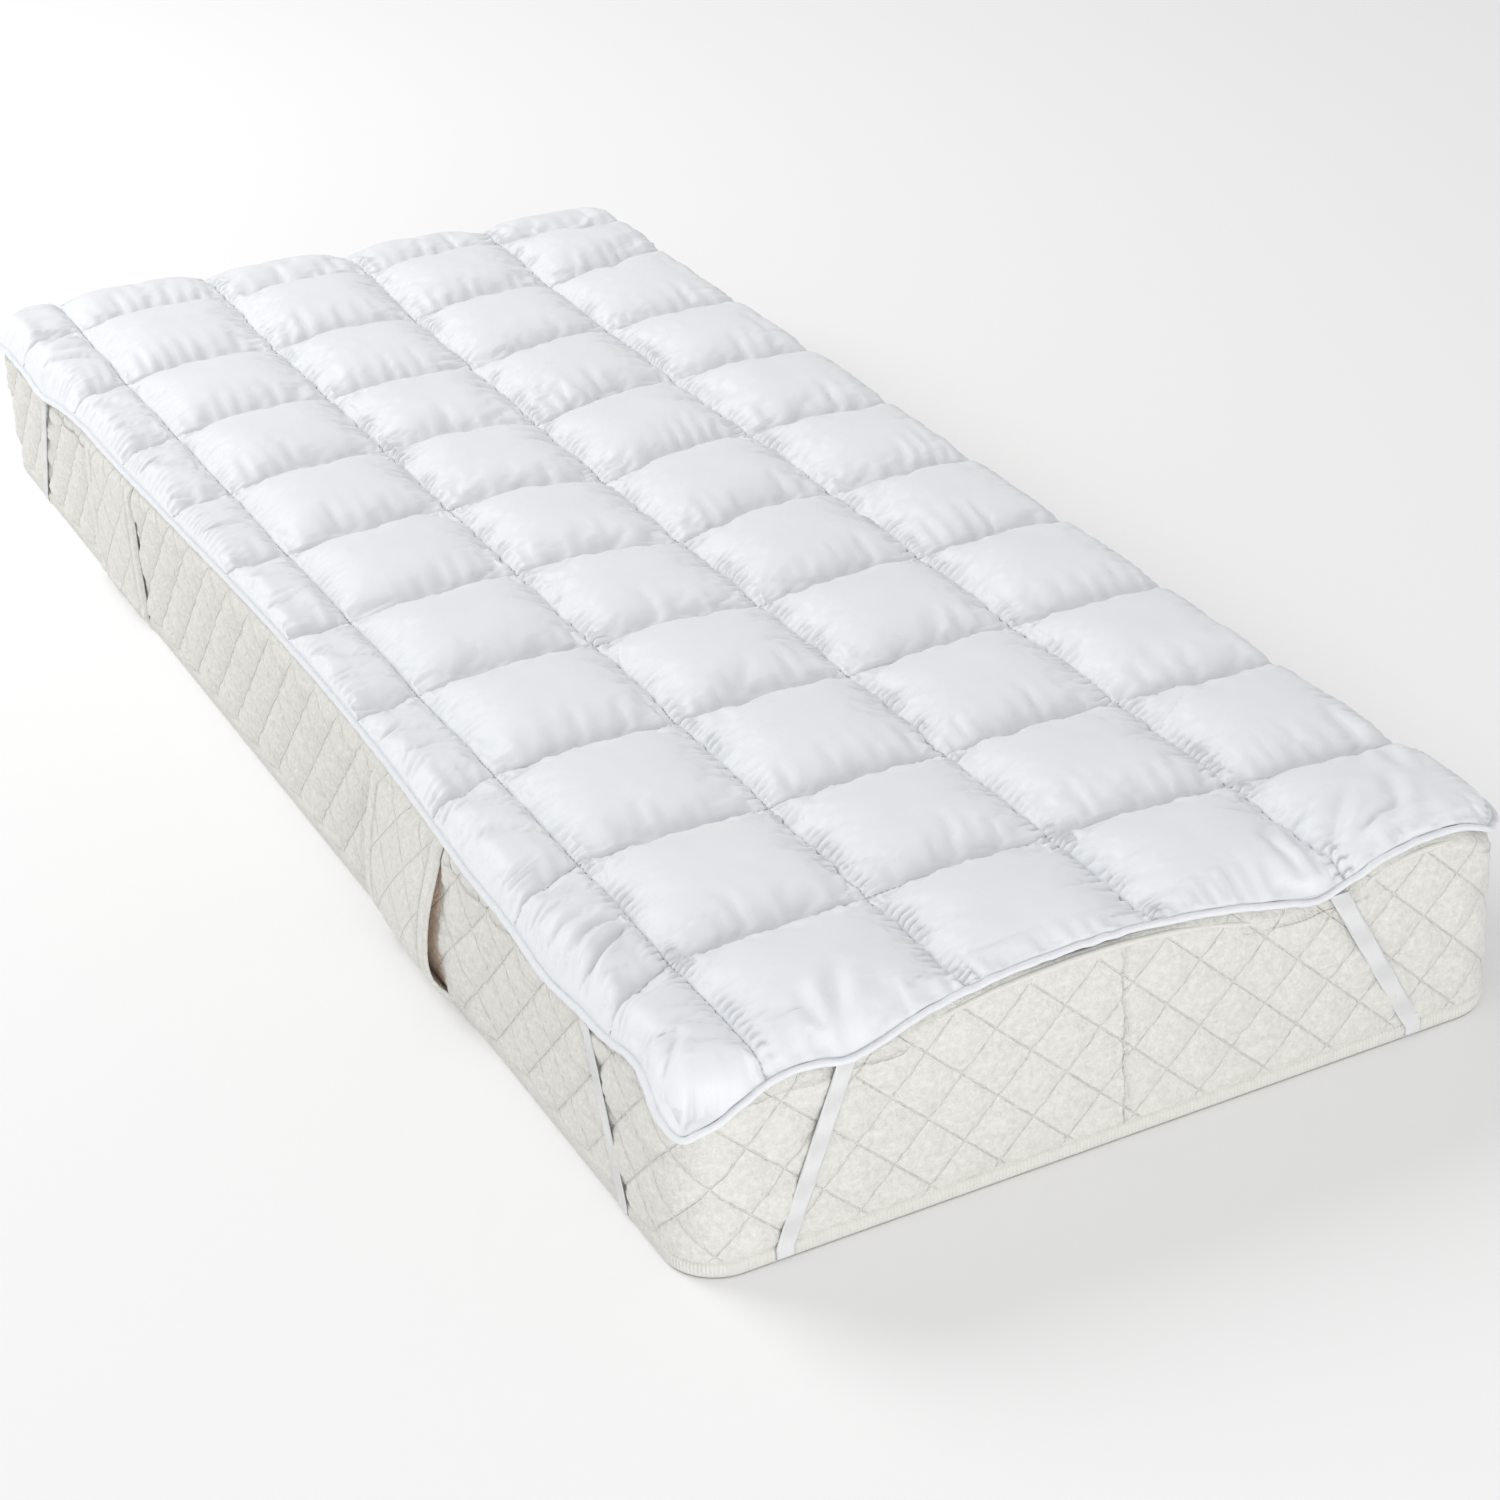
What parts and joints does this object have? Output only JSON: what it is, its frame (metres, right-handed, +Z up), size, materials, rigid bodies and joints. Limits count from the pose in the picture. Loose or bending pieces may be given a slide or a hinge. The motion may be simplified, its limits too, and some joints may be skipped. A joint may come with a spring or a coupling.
{
  "type": "quilted mattress pad on a mattress",
  "caption": "Filled pad quilted into square pillow cells, with a bound edge and elastic corner straps, laid on a plain single mattress with carry loops",
  "frame": {"origin": "on the floor, at the middle of the mattress's underside", "axes": "+X across the mattress, +Y along it towards the head end, +Z up"},
  "size_m": [0.8576, 2.0002, 0.2127],
  "materials": {
    "cover_knit": "matte knit",
    "pad_cloth": "soft satin weave",
    "binding_tape": "smooth tape",
    "elastic": "woven elastic"
  },
  "bodies": {
    "root": {"mattress": "cover_knit", "pad": "pad_cloth", "pad_binding": "binding_tape", "strap_left_foot": "elastic", "strap_right_foot": "elastic", "strap_left_head": "elastic", "strap_right_head": "elastic", "loop_near": "cover_knit", "loop_far": "cover_knit"}
  },
  "joints": []
}
